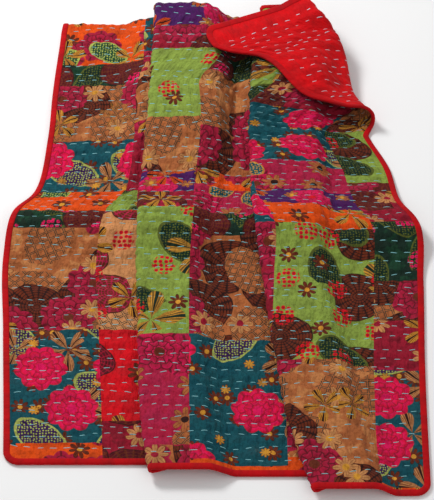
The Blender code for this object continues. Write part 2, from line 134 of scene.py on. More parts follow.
# Stations along the length. v and v_left are distances along the cloth from the bottom hem, at
# the right and the left. The rest are places on the floor: of the left, middle and right panels,
# of the edges and the pleats' folds, and of the turned-over corner's edge.
STATION_COLUMNS = (
    "v", "v_left", "y_left", "y_middle", "y_right",
    "x_left", "x_pleat_1", "x_pleat_2", "x_right", "x_corner", "y_corner",
)
STATIONS = (
    (0.000, 0.000, -0.531, -0.558, -0.602, -0.403, -0.127, 0.180, 0.400, 0.400, -0.602),
    (0.100, 0.100, -0.431, -0.457, -0.502, -0.408, -0.142, 0.152, 0.401, 0.401, -0.502),
    (0.320, 0.320, -0.210, -0.237, -0.290, -0.421, -0.153, 0.116, 0.405, 0.405, -0.290),
    (0.520, 0.520, -0.020, -0.035, -0.085, -0.430, -0.160, 0.093, 0.413, 0.413, -0.085),
    (0.640, 0.640, 0.080, 0.070, 0.030, -0.414, -0.160, 0.080, 0.414, 0.414, 0.030),
    (0.740, 0.740, 0.148, 0.141, 0.105, -0.376, -0.158, 0.073, 0.380, 0.380, 0.105),
    (0.900, 0.900, 0.299, 0.292, 0.218, -0.354, -0.147, 0.070, 0.358, 0.358, 0.218),
    (1.040, 1.015, 0.412, 0.406, 0.310, -0.350, -0.141, 0.070, 0.318, 0.318, 0.310),
    (1.160, 1.075, 0.471, 0.466, 0.385, -0.347, -0.139, 0.071, 0.297, 0.231, 0.355),
    (1.250, 1.120, 0.516, 0.512, 0.445, -0.344, -0.137, 0.074, 0.286, 0.179, 0.405),
    (1.360, 1.180, 0.575, 0.573, 0.530, -0.340, -0.135, 0.082, 0.272, 0.105, 0.485),
    (1.430, 1.218, 0.613, 0.614, 0.580, -0.338, -0.134, 0.098, 0.248, 0.039, 0.500),
    (1.475, 1.235, 0.630, 0.636, 0.605, -0.336, -0.133, 0.112, 0.222, 0.005, 0.515),
)



def ease(t):
    """0 to 1 with level ends."""
    t = min(max(t, 0.0), 1.0)
    return t * t * (3 - 2 * t)


def lerp(a, b, t):
    return a + (b - a) * t


def station(v):
    """The table's values at v, on smooth curves through its rows."""
    table = np.array(STATIONS)
    knots = table[:, 0]
    i = int(np.clip(np.searchsorted(knots, v) - 1, 0, len(knots) - 2))
    slopes = np.gradient(table, knots, axis=0)
    step = knots[i + 1] - knots[i]
    t = (v - knots[i]) / step
    values = (
        (2 * t**3 - 3 * t**2 + 1) * table[i]
        + (t**3 - 2 * t**2 + t) * step * slopes[i]
        + (3 * t**2 - 2 * t**3) * table[i + 1]
        + (t**3 - t**2) * step * slopes[i + 1]
    )
    return dict(zip(STATION_COLUMNS, values))


TOP_STATION = station(TOP_ROW)


def roll(y):
    return ROLL_HEIGHT * math.exp(-(((y - ROLL_Y) / ROLL_LENGTH) ** 2))


def in_pleat(x, start, end):
    """1 over a pleat's hidden folds and 0 away from them, with a drop on each side."""
    return min(ease((x - start + DROP_LENGTH) / DROP_LENGTH), ease((end + DROP_LENGTH - x) / DROP_LENGTH))


def tuck_length(at, flap):
    """How far each pleat's cloth runs under the next panel, from the width that is left over."""
    arcs = 4 * math.pi * PLEAT_RADIUS
    spare = WIDTH - (at["x_right"] - at["x_left"]) - flap - arcs
    return min(max(spare / 4, LEAST_TUCK), MOST_TUCK)


def raised_by(x, y):
    """The height that the folded-under end gives to whatever lies over it."""
    top = TOP_STATION
    starts = (top["x_pleat_1"] - UNDER_MARGIN, top["x_pleat_2"] - UNDER_MARGIN)
    ends = [start + TOP_TUCK + 2 * UNDER_MARGIN for start in starts]
    zones = [in_pleat(x, start, end) for start, end in zip(starts, ends)]
    height = UNDER_RISE + PLEAT_RISE * max(zones)
    past = ease((x - ends[1]) / DROP_LENGTH)
    starts_at = lerp(UNDER_START_LEFT, UNDER_START_RIGHT, ease(x / UNDER_START_X))
    return height * (1 - past) * ease((y - starts_at + UNDER_RAMP) / UNDER_RAMP)


def edge_distance_height(from_edge):
    """The cloth stands higher near its edge, where the binding is thicker than the cloth."""
    return lerp(REST_EDGE, REST_INSIDE, ease((from_edge - 0.015) / 0.030))


def spread(start, end, cells, skip_first=True):
    values = np.linspace(start, end, cells + 1)
    return list(values[1:] if skip_first else values)


def curl(at, flat_end, main_z, radius):
    """The right panel past its fold line: a function of the distance along the cloth."""
    out = np.array([at["x_corner"] - at["x_right"], at["y_corner"] - at["y_right"]]) + CURL_LEAN
    out /= np.linalg.norm(out)
    normal = np.array([1.0, 0.0]) - out
    normal /= np.linalg.norm(normal)
    along = np.array([normal[1], -normal[0]])
    across_rate, along_rate = normal[0], along[0]
    start = np.array([flat_end, at["y_right"]])

    def place(s):
        turn = across_rate * s / radius
        flat = start + along_rate * s * along
        if turn < math.pi:
            flat = flat + radius * math.sin(turn) * normal
            return flat[0], flat[1], main_z + radius * (1 - math.cos(turn))
        back = across_rate * s - math.pi * radius
        flat = flat - back * normal
        low_y, high_y = FLAP_RISE_Y
        settled = lerp(FLAP_LOW, FLAP_HIGH, ease((flat[1] - low_y) / (high_y - low_y)))
        z = lerp(main_z + 2 * radius, settled, ease(back / FLAP_SETTLES_IN))
        return flat[0], flat[1], z

    return place


def section(v):
    """The middle surface across the quilt at v: a list of points, each x, y, z and v."""
    at = station(v)
    reach = math.hypot(at["x_corner"] - at["x_right"], at["y_corner"] - at["y_right"])
    starting = ease((v - CURL_START) / CURL_CLOSES_IN)
    ell = reach + math.pi * CURL_RADIUS * starting
    if v <= CURL_START:
        ell = 0.0
    tuck = tuck_length(at, ell)
    x_0, x_1, x_2 = at["x_left"], at["x_pleat_1"], at["x_pleat_2"]
    r = PLEAT_RADIUS
    points = []

    def add(x, y, level, from_edge, v_here):
        low = edge_distance_height(from_edge)
        z = low + level + roll(y) + raised_by(x, y)
        points.append((x, y, z, v_here))

    def arc(centre_x, level, side, cells, y, v_here):
        for i in range(1, cells + 1):
            turn = math.pi * i / cells
            x = centre_x + side * r * math.sin(turn)
            rise = level + r * (1 - math.cos(turn))
            z = REST_INSIDE + rise + roll(y) + raised_by(centre_x, y)
            points.append((x, y, z, v_here))

    v_left = at["v_left"]
    y_left, y_mid, y_right = at["y_left"], at["y_middle"], at["y_right"]

    # The left panel, down to the hidden fold of the first pleat
    inner_1 = x_1 + tuck - r
    for from_edge in (0.0, BINDING_WIDTH, CORNER_RADIUS):
        add(x_0 + from_edge, y_left, 0.0, from_edge, v_left)
    lead_1 = x_1 - UNDER_LEAD
    stops = spread(x_0 + CORNER_RADIUS, lead_1 - DROP_LENGTH, LEFT_CELLS - 3)
    stops += [lead_1] + spread(lead_1, inner_1, 2)
    for x in stops:
        add(x, y_left, 0.0, x - x_0, v_left)
    arc(inner_1, 0.0, 1, INNER_ARC_CELLS, y_left, v_left)
    for x in spread(inner_1, x_1 + r, RETURN_1_CELLS):
        t = (inner_1 - x) / (inner_1 - x_1 - r)
        add(x, lerp(y_left, y_mid, t), 2 * r, 1.0, v_left)
    arc(x_1 + r, 2 * r, -1, OUTER_ARC_CELLS, y_mid, v_left)

    # The middle panel, which drops off the first pleat and runs under the right panel
    inner_2 = x_2 + tuck - r
    drop_1 = x_1 + tuck + DROP_AFTER
    stops = [lerp(x_1 + r, drop_1, 0.5), drop_1, drop_1 + DROP_LENGTH / 2, drop_1 + DROP_LENGTH]
    lead_2 = x_2 - UNDER_LEAD
    stops += [max(lead_2 - DROP_LENGTH, lerp(stops[-1], lead_2, 0.3)), lead_2]
    stops += spread(lead_2, inner_2, TUCK_CELLS)
    for x in stops:
        level = 4 * r * (1 - ease((x - drop_1) / DROP_LENGTH))
        add(x, y_mid, level, 1.0, v_left)
    arc(inner_2, 0.0, 1, INNER_ARC_CELLS, y_mid, v_left)
    for x in spread(inner_2, x_2 + r, RETURN_2_CELLS):
        t = (inner_2 - x) / (inner_2 - x_2 - r)
        add(x, lerp(y_mid, y_right, t), 2 * r, 1.0, lerp(v_left, v, t))
    arc(x_2 + r, 2 * r, -1, OUTER_ARC_CELLS, y_right, v)

    # The right panel, to its edge or to the fold line of the turned-over corner
    shown = max(ell, CORNER_RADIUS + math.pi * CURL_RADIUS + 0.010)
    flat_end = at["x_right"] - CURL_RADIUS * starting
    first_curl = flat_end - (shown - ell)
    drop_2 = x_2 + tuck + DROP_AFTER

    def right_level(x):
        return 4 * r * (1 - ease((x - drop_2) / DROP_LENGTH))

    knee = min(drop_2, lerp(x_2 + r, first_curl, 0.6))
    for x in spread(x_2 + r, knee, 2) + spread(knee, first_curl, RIGHT_CELLS - 2):
        add(x, y_right, right_level(x), flat_end + ell - x, v)
    main_z = REST_INSIDE + right_level(flat_end) + roll(y_right) + raised_by(flat_end, y_right)
    place = curl(at, flat_end, main_z, lerp(OPEN_CURL_RADIUS, CURL_RADIUS, starting))
    edge_marks = spread(shown, shown - math.pi * CURL_RADIUS, CURL_CELLS)
    edge_marks += spread(edge_marks[-1], CORNER_RADIUS, FLAP_CELLS)
    edge_marks += [BINDING_WIDTH, 0.0]
    for from_edge in edge_marks:
        s = ell - from_edge
        if s <= 0:
            x = flat_end + s
            add(x, y_right, right_level(x), from_edge, v)
        else:
            x, y, z = place(s)
            low = edge_distance_height(from_edge) - REST_INSIDE
            points.append((x, y, z + low, v))
    return np.array(points)


def under_profile(top, at):
    """For each column, the depth that is folded under and the angle of the fold."""
    _, _, pleat_1, middle, inner_2, return_2, pleat_2 = column_marks()
    lead_2 = at["x_pleat_2"] - UNDER_LEAD
    profile = []
    for k, x in enumerate(top[:, 0]):
        if k <= middle:
            depth = lerp(UNDER_DEPTH_LEFT, UNDER_DEPTH_MIDDLE, min(k / pleat_1, 1.0))
            angle = math.pi
        elif k <= inner_2:
            across = (x - at["x_pleat_1"]) / (lead_2 - at["x_pleat_1"])
            depth = lerp(UNDER_DEPTH_MIDDLE, SWING_DEPTH, min(across, 1.0))
            angle = math.pi * (1 - (x - lead_2) / (top[inner_2, 0] - lead_2))
            angle = min(angle, math.pi)
        elif k <= pleat_2:
            depth, angle = SWING_DEPTH, 0.0
        else:
            t = (k - pleat_2) / (len(top) - 1 - pleat_2)
            depth, angle = lerp(SWING_DEPTH, FLAP_HEM_DEPTH, ease(2 * t)), 0.0
        profile.append((depth, angle))
    return profile


def column_marks():
    """The columns at which the hidden folds start and end, counted from the left edge."""
    inner_1 = 2 + LEFT_CELLS
    return_1 = inner_1 + INNER_ARC_CELLS
    pleat_1 = return_1 + RETURN_1_CELLS
    middle = pleat_1 + OUTER_ARC_CELLS
    inner_2 = middle + MIDDLE_CELLS
    return_2 = inner_2 + INNER_ARC_CELLS
    pleat_2 = return_2 + RETURN_2_CELLS
    return inner_1, return_1, pleat_1, middle, inner_2, return_2, pleat_2


def under_level(k, x, at):
    """The height of a folded-under layer over the lowest one: the order of the layers is turned over."""
    inner_1, return_1, pleat_1, middle, inner_2, return_2, _ = column_marks()

    def sloping(pleat):
        return PLEAT_RISE * ease((x - at[pleat] + UNDER_LEAD + DROP_LENGTH) / DROP_LENGTH)

    def turning(top, first, cells):
        return top - PLEAT_RADIUS * (1 - math.cos(math.pi * (k - first) / cells))

    if k <= inner_1:
        return sloping("x_pleat_1")
    if k <= return_1:
        return turning(PLEAT_RISE, inner_1, INNER_ARC_CELLS)
    if k <= pleat_1:
        return PLEAT_RISE / 2
    if k <= middle:
        return turning(PLEAT_RISE / 2, pleat_1, OUTER_ARC_CELLS)
    return 0.0


def source_rows():
    """The middle surface row by row: places, distances across and distances along, for each point."""
    values = [0.0, BINDING_WIDTH, 0.020, CORNER_RADIUS, 0.038]
    values += list(np.linspace(0.05, TOP_ROW, int((TOP_ROW - 0.05) / ROW_STEP)))
    side = np.array([edge_distance_height(s) for s in (0.0, BINDING_WIDTH, CORNER_RADIUS)]) - REST_INSIDE
    places, across, along = [], [], []
    for v in values:
        row = section(v)
        lift = np.full(len(row), edge_distance_height(v) - REST_INSIDE)
        lift[:3] -= side
        lift[-3:] -= side[::-1]
        row[:, 2] += np.maximum(lift, 0.0)
        gone = np.linalg.norm(np.diff(row[:, :3], axis=0), axis=1)
        u = np.concatenate([[0.0], np.cumsum(gone)])
        places.append(row[:, :3])
        across.append(u * WIDTH / u[-1])
        along.append(row[:, 3])
    last, last_u, last_v = places[-1], across[-1], along[-1]
    for place, reached in folded_end(last):
        places.append(place)
        across.append(last_u)
        along.append(lerp(last_v, LENGTH, reached))
    return places, across, along


def folded_end(last):
    """The rows past the top fold, down under the quilt, or straight on at the right."""
    at = station(TOP_ROW)
    level = section(TOP_ROW)
    profile = under_profile(level, at)
    *_, inner_2, return_2, pleat_2 = column_marks()
    marks = []
    for k, (depth, angle) in enumerate(profile):
        over = level[k, 2]
        under = REST_UNDER + under_level(k, level[k, 0], at)
        radius = (over - under) / 2
        length = angle * radius
        if angle < math.pi:
            length = max(length, 0.2 * depth)
        full = depth
        if k <= inner_2:
            full = max(depth + length + SWING_PAST - SWING_DEPTH, SWING_DEPTH)
        t = min(max((k - return_2) / (pleat_2 - return_2), 0.0), 1.0)
        tangent = lerp(np.array([0.0, 1.0, 0.0]), np.array(HEM_LEAN), t)
        arc_end = min(length, 0.7 * (full - BINDING_WIDTH))
        distances = spread(0.0, arc_end, TOP_ARC_CELLS) + spread(arc_end, full, UNDER_CELLS)
        marks.append((tangent, angle, length, full, distances))
    for i in range(TOP_ARC_CELLS + UNDER_CELLS):
        place = [
            wrapped(last[k], tangent, angle, distances[i], length)
            for k, (tangent, angle, length, full, distances) in enumerate(marks)
        ]
        reached = [distances[i] / full for tangent, angle, length, full, distances in marks]
        yield np.array(place), np.array(reached)


def wrapped(start, tangent, angle, s, length):
    """A point at distance s along a stretch that turns down through the angle and then runs straight."""
    turned = angle * min(s / length, 1.0)
    if angle > 0.05:
        bend = length / angle
        ahead, down = bend * math.sin(turned), bend * (1 - math.cos(turned))
    else:
        ahead, down = min(s, length), 0.0
    rest = max(s - length, 0.0)
    ahead += rest * math.cos(angle)
    down += rest * math.sin(angle)
    return start + ahead * tangent - np.array([0, 0, down])


class Cloth:
    """The folded cloth: the place and the front's normal at any (u, v) of the open quilt."""

    STEP = 0.003

    def __init__(self):
        self.columns = int(WIDTH / self.STEP) + 1
        self.rows = int(LENGTH / self.STEP) + 1
        places, across, along = source_rows()
        even_u = np.linspace(0, WIDTH, self.columns)
        even_v = np.linspace(0, LENGTH, self.rows)
        widened = np.array([
            [np.interp(even_u, u, values) for values in (*place.T, v)]
            for place, u, v in zip(places, across, along)
        ])
        self.grid = np.zeros((self.rows, self.columns, 3))
        for k in range(self.columns):
            for axis in range(3):
                self.grid[:, k, axis] = np.interp(even_v, widened[:, 3, k], widened[:, axis, k])
        for axis in (0, 1):
            self.grid = softened(self.grid, axis)
        along_v = np.gradient(self.grid, axis=0)
        along_u = np.gradient(self.grid, axis=1)
        normal = np.cross(along_u, along_v)
        self.normals = normal / np.linalg.norm(normal, axis=2)[..., None]

    def shift(self, by):
        self.grid = self.grid + by

    def sample(self, field, u, v):
        a = np.clip(np.asarray(u) / WIDTH * (self.columns - 1), 0, self.columns - 1.001)
        b = np.clip(np.asarray(v) / LENGTH * (self.rows - 1), 0, self.rows - 1.001)
        i, j = a.astype(int), b.astype(int)
        s, t = (a - i)[..., None], (b - j)[..., None]
        low = lerp(field[j, i], field[j, i + 1], s)
        high = lerp(field[j + 1, i], field[j + 1, i + 1], s)
        return lerp(low, high, t)

    def at(self, u, v, height):
        """The place at a height over the middle surface, with soft creases, and flat where the floor is."""
        place = self.sample(self.grid, u, v)
        normal = self.sample(self.normals, u, v)
        normal /= np.linalg.norm(normal, axis=-1)[..., None]
        place = place + normal * np.asarray(height)[..., None]
        place[..., 2] = np.maximum(place[..., 2] + creases(u, v), FLOOR_CLEAR)
        return place


def softened(grid, axis):
    """The grid with its bends eased a little along one axis, its edges kept."""
    swapped = np.moveaxis(grid, axis, 0)
    eased = swapped.copy()
    eased[1:-1] = 0.25 * swapped[:-2] + 0.5 * swapped[1:-1] + 0.25 * swapped[2:]
    return np.moveaxis(eased, 0, axis)


# Soft ridges that the hand leaves in the cloth: from (u, v) to (u, v), half width and height
CREASES = (
    (0.02, 0.98, 0.20, 0.78, 0.030, 0.006),
    (0.05, 1.16, 0.24, 1.02, 0.026, 0.005),
    (0.06, 0.66, 0.24, 0.74, 0.028, 0.005),
    (0.52, 1.00, 0.70, 0.86, 0.030, 0.006),
    (0.56, 1.14, 0.66, 1.00, 0.024, 0.005),
    (0.55, 0.72, 0.74, 0.80, 0.028, 0.005),
    (0.98, 0.86, 1.10, 1.00, 0.028, 0.007),
    (1.06, 0.70, 1.24, 0.82, 0.030, 0.007),
    (1.08, 0.60, 1.24, 0.64, 0.026, 0.005),
    (0.10, 0.10, 0.22, 0.50, 0.050, 0.003),
    (0.62, 0.08, 0.70, 0.52, 0.050, 0.003),
    (1.14, 0.10, 1.20, 0.48, 0.045, 0.003),
)


def creases(u, v):
    """The height of the soft ridges at (u, v)."""
    height = np.zeros(np.broadcast(u, v).shape)
    for u_1, v_1, u_2, v_2, width, rise in CREASES:
        du, dv = u_2 - u_1, v_2 - v_1
        length = math.hypot(du, dv)
        along = ((u - u_1) * du + (v - v_1) * dv) / length**2
        aside = ((u - u_1) * dv - (v - v_1) * du) / length
        ends = np.exp(-((np.abs(along - 0.5) / 0.5) ** 4))
        height = height + rise * ends * np.exp(-((aside / width) ** 2))
    return height


def noise(u, v, size_u, size_v, seed):
    """Smooth noise from -1 to 1, with bumps of about the given sizes."""
    random = np.random.default_rng(seed)
    rows, columns = int(LENGTH / size_v) + 4, int(WIDTH / size_u) + 4
    lattice = random.uniform(-1, 1, (rows, columns))
    a = np.clip(np.asarray(u) / size_u + 1, 0, columns - 2)
    b = np.clip(np.asarray(v) / size_v + 1, 0, rows - 2)
    i, j = a.astype(int), b.astype(int)
    s, t = a - i, b - j
    s, t = s * s * (3 - 2 * s), t * t * (3 - 2 * t)
    low = lerp(lattice[j, i], lattice[j, i + 1], s)
    high = lerp(lattice[j + 1, i], lattice[j + 1, i + 1], s)
    return lerp(low, high, t)


def eased(t):
    t = np.clip(t, 0.0, 1.0)
    return t * t * (3 - 2 * t)


def from_edge(u, v):
    return np.minimum(np.minimum(u, WIDTH - u), np.minimum(v, LENGTH - v))


def wander(u, row):
    """How far a row of stitches strays from its line, being sewn by hand."""
    wide = np.sin(2 * math.pi * u / 0.31 + 1.9 * row)
    narrow = np.sin(2 * math.pi * u / 0.17 + 3.1 * row)
    return WANDER * (wide + 0.5 * narrow)


def quilting(u, v):
    """How deep the cloth is drawn in by the nearest row of stitches (0 to 1), and how crinkled it is."""
    t = v / ROW_PITCH - 0.5
    row = np.round(t)
    valley = np.exp(-((((t - row) * ROW_PITCH - wander(u, row)) / 0.0055) ** 2))
    pinch = 0.5 + 0.5 * np.cos(2 * math.pi * u / (STITCH_LENGTH + STITCH_GAP) + 2.4 * row)
    fade = eased((from_edge(u, v) - BINDING_WIDTH) / 0.016)
    crinkle = noise(u, v, 0.011, 0.052, 3) + 0.6 * noise(u, v, 0.009, 0.022, 5)
    rough = 0.75 + 0.5 * eased((v - 0.62) / 0.25)
    return valley, pinch, fade, crinkle * rough


def front_height(u, v):
    valley, pinch, fade, crinkle = quilting(u, v)
    puff = 0.0021 * (1 - valley) * (1 + 0.4 * noise(u, v, 0.045, 0.026, 7))
    drawn = 0.0012 * valley * (0.4 + 0.6 * pinch)
    relief = puff - drawn + 0.0021 * crinkle * (1 - 0.4 * valley)
    return FRONT_FACE + fade * np.maximum(relief, -0.0022)


def back_height(u, v, cloth):
    valley, pinch, fade, crinkle = quilting(u, v)
    lifted = eased((cloth.sample(cloth.grid, u, v)[..., 2] - 0.05) / 0.015)
    puff = 0.0018 * (1 - valley) + 0.0011 * np.maximum(crinkle + 1.0, 0)
    return BACK_FACE + fade * (0.0005 * valley - lifted * puff)


def side_set_back(u):
    """How far the bottom and top edges stand back at u, at the rounded corners."""
    from_side = np.clip(np.minimum(u, WIDTH - u), 0, CORNER_RADIUS)
    return CORNER_RADIUS - np.sqrt(CORNER_RADIUS**2 - (CORNER_RADIUS - from_side) ** 2)


def cloth_grid(u_values, v_values):
    """A grid of (u, v) over the whole quilt, its rows drawn in at the rounded corners."""
    u, v = np.meshgrid(u_values, v_values)
    back = side_set_back(u)
    reach = 0.13
    low = back * np.clip(1 - v / reach, 0, 1)
    high = back * np.clip(1 - (LENGTH - v) / reach, 0, 1)
    return u, v + low - high


def new_object(name, points, faces, uvs, materials, chosen=None):
    """A smooth mesh object that rides on the quilt's body. uvs has one pair for each point."""
    mesh = bpy.data.meshes.new(name)
    mesh.from_pydata(points.tolist(), [], faces.tolist())
    layer = mesh.uv_layers.new(name="cloth")
    corners = np.empty(len(mesh.loops), dtype=np.int32)
    mesh.loops.foreach_get("vertex_index", corners)
    layer.data.foreach_set("uv", uvs[corners].astype(np.float32).ravel())
    for made in materials:
        mesh.materials.append(made)
    if chosen is not None:
        mesh.polygons.foreach_set("material_index", chosen.astype(np.int32))
    mesh.shade_smooth()
    thing = bpy.data.objects.new(name, mesh)
    bpy.context.collection.objects.link(thing)
    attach(thing, "root")
    return thing


def grid_faces(rows, columns):
    j, k = np.meshgrid(np.arange(rows - 1), np.arange(columns - 1), indexing="ij")
    first = (j * columns + k).ravel()
    return np.stack([first, first + 1, first + columns + 1, first + columns], axis=1)


# The patches of each column of patchwork, from the bottom hem: where each one ends, and its cloth
PATCH_COLUMNS = (0.19, 0.38, 0.575, 0.77, 0.96, 1.17, WIDTH)
PATCHES = (
    ((0.045, "orange"), (0.32, "teal"), (0.58, "tan"), (0.64, "green"), (0.74, "orange"), (0.885, "teal"),
     (1.05, "tan"), (1.11, "green"), (1.24, "orange"), (LENGTH, "magenta")),
    ((0.10, "magenta"), (0.32, "red"), (0.64, "peach"), (0.74, "lime"), (0.93, "magenta"),
     (1.13, "brown"), (LENGTH, "teal")),
    ((0.05, "brown"), (0.32, "crimson"), (0.64, "lime"), (0.72, "magenta"), (0.79, "purple"), (0.925, "tan"),
     (1.12, "lime"), (1.19, "magenta"), (LENGTH, "purple")),
    ((0.02, "orange"), (0.32, "teal"), (0.575, "brown"), (0.64, "green"), (0.75, "crimson"), (0.80, "orange"),
     (0.90, "brown"), (1.06, "tan"), (1.12, "green"), (LENGTH, "magenta")),
    ((0.04, "orange"), (0.31, "brown"), (0.64, "magenta"), (0.85, "teal"), (1.08, "peach"),
     (LENGTH, "lime")),
    ((0.31, "tan"), (0.64, "lime"), (0.70, "orange"), (0.78, "purple"), (0.90, "crimson"),
     (1.12, "teal"), (LENGTH, "magenta")),
    ((0.015, "orange"), (0.30, "teal"), (0.42, "magenta"), (0.52, "tan"), (0.66, "green"),
     (0.84, "magenta"), (1.06, "lime"), (LENGTH, "brown")),
)
FABRICS = ("teal", "tan", "lime", "magenta", "orange", "purple", "peach", "red", "brown", "crimson", "green")


def fabric_of(u, v):
    """The number of the patch's cloth at each (u, v)."""
    found = np.zeros(u.shape, dtype=int)
    column = np.searchsorted(PATCH_COLUMNS, u)
    for c, patches in enumerate(PATCHES):
        ends = [end for end, _ in patches]
        names = np.array([FABRICS.index(name) for _, name in patches])
        here = column == c
        row = np.clip(np.searchsorted(ends, v[here]), 0, len(ends) - 1)
        found[here] = names[row]
    return found


def seam_dip(u, v):
    """How far the front is drawn in along the seams between patches."""
    dip = np.zeros(u.shape)
    for seam in PATCH_COLUMNS[:-1]:
        dip = np.maximum(dip, np.exp(-(((u - seam) / 0.0035) ** 2)))
    column = np.clip(np.searchsorted(PATCH_COLUMNS, u), 0, len(PATCHES) - 1)
    for c, patches in enumerate(PATCHES):
        here = column == c
        for end, _ in patches[:-1]:
            dip[here] = np.maximum(dip[here], np.exp(-(((v[here] - end) / 0.0035) ** 2)))
    return dip


def front_sheet(cloth, looks):
    """The patchwork, with its puffs, puckers and seams."""
    per_row = 5
    v_values = np.arange(0, ROWS * per_row + 1) * (ROW_PITCH / per_row)
    u_values = np.linspace(0, WIDTH, 332)
    for seam in PATCH_COLUMNS[:-1]:
        u_values[np.argmin(abs(u_values - seam))] = seam
    u, v = cloth_grid(u_values, v_values)
    height = front_height(u, v) - 0.0006 * seam_dip(u, v)
    points = cloth.at(u, v, height).reshape(-1, 3)
    faces = grid_faces(*u.shape)
    middle_u = u.ravel()[faces].mean(axis=1)
    middle_v = v.ravel()[faces].mean(axis=1)
    uvs = np.stack([u.ravel(), v.ravel()], axis=1)
    return new_object("patchwork_front", points, faces, uvs, looks, fabric_of(middle_u, middle_v))


def back_sheet(cloth, look):
    u_values = np.linspace(0, WIDTH, 260)
    v_values = np.arange(0, 58 * 4 + 1) * (ROW_PITCH / 4)
    u, v = cloth_grid(u_values, v_values)
    points = cloth.at(u, v, back_height(u, v, cloth)).reshape(-1, 3)
    faces = grid_faces(*u.shape)[:, ::-1]
    uvs = np.stack([u.ravel(), v.ravel()], axis=1)
    return new_object("red_back", points, faces, uvs, [look])


def stitch_places(seed):
    """The middle, the slant and the length of each running stitch, row by row."""
    random = np.random.default_rng(seed)
    pitch = STITCH_LENGTH + STITCH_GAP
    found = []
    for row in range(ROWS):
        v = (row + 0.5) * ROW_PITCH
        u = 0.020 + pitch * random.uniform(0, 0.5)
        while u < WIDTH - 0.024:
            length = STITCH_LENGTH * random.uniform(0.85, 1.15)
            set_back = float(side_set_back(np.array(u)))
            if set_back + 0.018 < v < LENGTH - set_back - 0.018:
                strayed = v + float(wander(u, row)) + random.normal(0, 0.0005)
                slant = float(wander(u + 0.01, row) - wander(u - 0.01, row)) / 0.02
                found.append((u, strayed, slant + random.normal(0, 0.05), length))
            u += length + STITCH_GAP * random.uniform(0.85, 1.15)
    return np.array(found)


def stitches(name, cloth, front, seed, look, rings=5, sides=6):
    """Running stitches: short thick threads that dip into the cloth at both ends."""
    places = stitch_places(seed)
    if not front:
        places[:, 0] += (STITCH_LENGTH + STITCH_GAP) / 2
        places = places[places[:, 0] < WIDTH - 0.024]
    along = np.linspace(-0.5, 0.5, rings)
    swell = np.sqrt(np.clip(1 - (2 * along) ** 4, 0.10, 1))
    turn = np.linspace(0, 2 * math.pi, sides, endpoint=False)
    u0, v0, slant, length = places.T
    s = along[None, :, None] * length[:, None, None]
    aside = 0.5 * STITCH_WIDTH * swell[None, :, None] * np.cos(turn)[None, None, :]
    over = 0.5 * STITCH_HEIGHT * swell[None, :, None] * np.sin(turn)[None, None, :]
    sunk = 0.0009 * (2 * np.abs(along[None, :, None])) ** 3
    u = u0[:, None, None] + s - aside * slant[:, None, None]
    v = v0[:, None, None] + s * slant[:, None, None] + aside
    if front:
        height = front_height(u, v) + 0.0004 + over - sunk
    else:
        height = back_height(u, v, cloth) - 0.0004 + over + sunk
    points = cloth.at(u, v, height).reshape(-1, 3)
    ring = np.arange(sides)
    wall = []
    for i in range(rings - 1):
        a, b = i * sides, (i + 1) * sides
        after = (ring + 1) % sides
        wall.append(np.stack([a + ring, a + after, b + after, b + ring], axis=1))
    wall = np.concatenate(wall)
    size = rings * sides
    starts = np.arange(len(places)) * size
    faces = (wall[None] + starts[:, None, None]).reshape(-1, 4)
    uvs = np.stack([
        np.broadcast_to(s + u0[:, None, None], u.shape).ravel(),
        np.broadcast_to(turn / 40, u.shape).ravel(),
    ], axis=1)
    return new_object(name, points, faces, uvs, [look])


def rim_places(step):
    """Points round the quilt's edge: (u, v) of the edge, the way inwards, and the distance round."""
    r = CORNER_RADIUS
    sides = (
        ((r, 0.0), (WIDTH - r, 0.0), (0, 1)),
        ((WIDTH, r), (WIDTH, LENGTH - r), (-1, 0)),
        ((WIDTH - r, LENGTH), (r, LENGTH), (0, -1)),
        ((0.0, LENGTH - r), (0.0, r), (1, 0)),
    )
    centres = ((WIDTH - r, r), (WIDTH - r, LENGTH - r), (r, LENGTH - r), (r, r))
    edge, inward = [], []
    for i, (start, end, into) in enumerate(sides):
        length = math.dist(start, end)
        for t in np.arange(0, 1, step / length):
            edge.append((lerp(start[0], end[0], t), lerp(start[1], end[1], t)))
            inward.append(into)
        first = -math.pi / 2 + i * math.pi / 2
        for turn in np.linspace(first, first + math.pi / 2, 8, endpoint=False):
            edge.append((centres[i][0] + r * math.cos(turn), centres[i][1] + r * math.sin(turn)))
            inward.append((-math.cos(turn), -math.sin(turn)))
    edge, inward = np.array(edge), np.array(inward)
    gone = np.linalg.norm(np.roll(edge, -1, axis=0) - edge, axis=1)
    return edge, inward, np.concatenate([[0.0], np.cumsum(gone)[:-1]])


